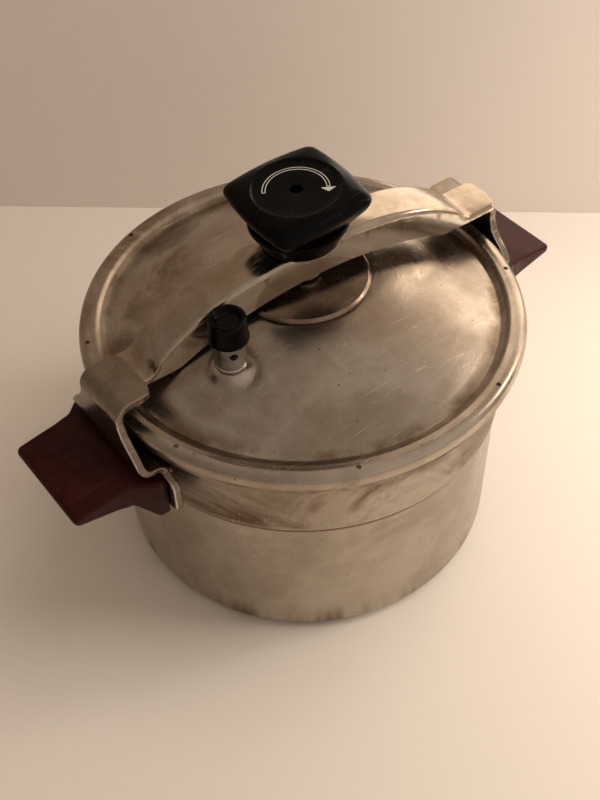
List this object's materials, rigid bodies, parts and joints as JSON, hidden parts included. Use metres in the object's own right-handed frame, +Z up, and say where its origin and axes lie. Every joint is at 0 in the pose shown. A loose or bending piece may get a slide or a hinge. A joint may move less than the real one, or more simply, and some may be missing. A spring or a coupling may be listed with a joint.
{
  "type": "stovetop pressure cooker",
  "caption": "Round aluminium cooking pot with a domed lid, an arched clamping yoke with a screw knob, a lift-off weight valve and two flat side handles.",
  "frame": {"origin": "centre of the flat bottom of the pot, on its axis", "axes": "+Z up along the pot axis, +X towards one handle, across both handles"},
  "size_m": [0.34, 0.2498, 0.2391],
  "materials": {
    "aged_aluminium": "worn satin aluminium with brown heat staining and fine scratches",
    "bare_steel": "turned bare steel",
    "plain_brass": "machined brass",
    "black_bakelite": "moulded black bakelite, satin gloss",
    "red_bakelite": "moulded dark red-brown bakelite",
    "seal_rubber": "moulded rubber"
  },
  "bodies": {
    "pot": {"pot_body": "aged_aluminium", "catch_right": "aged_aluminium", "catch_left": "aged_aluminium", "handle_right": "red_bakelite", "handle_left": "red_bakelite", "handle_screw_right": "bare_steel", "handle_screw_left": "bare_steel", "handle_washer_right": "bare_steel", "handle_washer_left": "bare_steel", "catch_rivet_right_1": "aged_aluminium", "catch_rivet_right_2": "aged_aluminium", "catch_rivet_left_1": "aged_aluminium", "catch_rivet_left_2": "aged_aluminium"},
    "lid": {"lid_shell": "aged_aluminium", "gasket": "seal_rubber", "lid_plate": "aged_aluminium", "lid_plate_stud": "bare_steel", "valve_stem": "bare_steel", "valve_seal": "seal_rubber", "valve_nut": "bare_steel"},
    "valve_weight": {"valve_sleeve": "bare_steel", "valve_pin": "bare_steel", "valve_slug": "plain_brass", "valve_cap": "black_bakelite"},
    "yoke": {"yoke": "aged_aluminium", "yoke_bush": "plain_brass", "bush_rivet_1": "bare_steel", "bush_rivet_2": "bare_steel"},
    "foot": {"screw_foot": "bare_steel"},
    "screw": {"screw_spindle": "bare_steel", "foot_clip": "bare_steel", "knob_collar": "black_bakelite", "knob_insert": "plain_brass", "knob": "black_bakelite", "knob_screw": "bare_steel"}
  },
  "joints": [
    {"name": "lid_turn", "type": "hinge", "parent": "pot", "child": "lid", "pos_m": [0, 0, 0.1505], "axis": [0, 0, 1], "range_deg": [-90, 90]},
    {"name": "yoke_swing", "type": "hinge", "parent": "lid", "child": "yoke", "pos_m": [0.0016, 0, 0.1794], "axis": [0, 0, 1], "range_deg": [-130, 4]},
    {"name": "screw_rise", "type": "slide", "parent": "yoke", "child": "foot", "axis": [-0.0572, 0.0053, 0.9984], "range_m": [0, 0.007]},
    {"name": "knob_turn", "type": "hinge", "parent": "foot", "child": "screw", "pos_m": [0.0016, 0, 0.1794], "axis": [-0.0572, 0.0053, 0.9984], "range_deg": [0, 1259]},
    {"name": "valve_lift", "type": "slide", "parent": "lid", "child": "valve_weight", "axis": [0, 0, 1], "range_m": [0, 0.03]}
  ],
  "couplings": [
    {"joint": "screw_rise", "follows": "knob_turn", "m_per_rad": 0.00031831}
  ]
}
